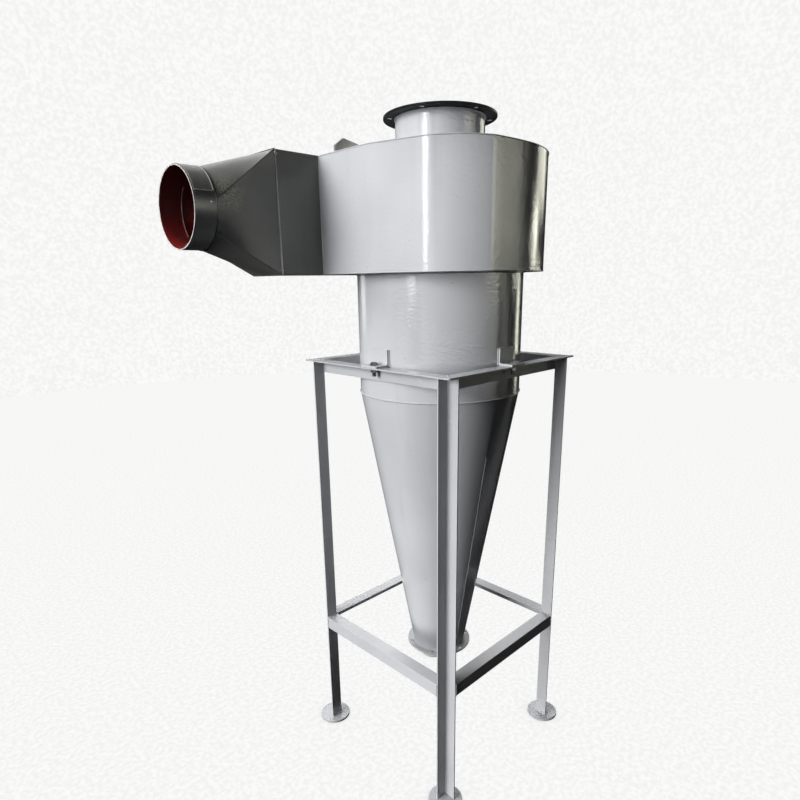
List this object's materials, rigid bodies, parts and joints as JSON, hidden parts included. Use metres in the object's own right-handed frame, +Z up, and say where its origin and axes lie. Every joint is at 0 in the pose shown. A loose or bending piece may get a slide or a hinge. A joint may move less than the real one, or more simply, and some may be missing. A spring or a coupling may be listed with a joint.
{
  "type": "cyclone dust collector",
  "caption": "Sheet steel cyclone dust collector with a volute inlet, round inlet collar, flanged outlets and a cone held in a four-legged angle iron stand.",
  "frame": {"origin": "on the barrel's axis at floor level, between the four feet", "axes": "+Z up; the inlet opens toward -X; the duct runs along the +Y side; the stand's sides lie along X and Y"},
  "size_m": [1.019, 0.676, 2.01],
  "materials": {
    "body_paint": "mid grey gloss paint on sheet steel",
    "stand_paint": "mid grey gloss paint on angle iron",
    "flange_paint": "dark grey paint on plate",
    "bolts": "zinc plated steel"
  },
  "bodies": {
    "root": {"barrel": "body_paint", "cone": "body_paint", "dust_flange": "body_paint", "foot_plate_back_left": "stand_paint", "foot_plate_back_right": "stand_paint", "foot_plate_front_left": "stand_paint", "foot_plate_front_right": "stand_paint", "inlet_collar": "body_paint", "inlet_duct": "body_paint", "inlet_transition": "body_paint", "leg_back_left": "stand_paint", "leg_back_right": "stand_paint", "leg_front_left": "stand_paint", "leg_front_right": "stand_paint", "lifting_lug": "body_paint", "lower_rail_back": "stand_paint", "lower_rail_front": "stand_paint", "lower_rail_left": "stand_paint", "lower_rail_right": "stand_paint", "mounting_bolt_back": "bolts", "mounting_bolt_front": "bolts", "mounting_bolt_left": "bolts", "mounting_bolt_right": "bolts", "mounting_lug_back": "stand_paint", "mounting_lug_front": "stand_paint", "mounting_lug_left": "stand_paint", "mounting_lug_right": "stand_paint", "outlet_flange": "flange_paint", "outlet_pipe": "body_paint", "scroll_floor": "body_paint", "scroll_roof": "body_paint", "scroll_wall": "body_paint", "top_rail_back": "stand_paint", "top_rail_front": "stand_paint", "top_rail_left": "stand_paint", "top_rail_right": "stand_paint"}
  },
  "joints": []
}
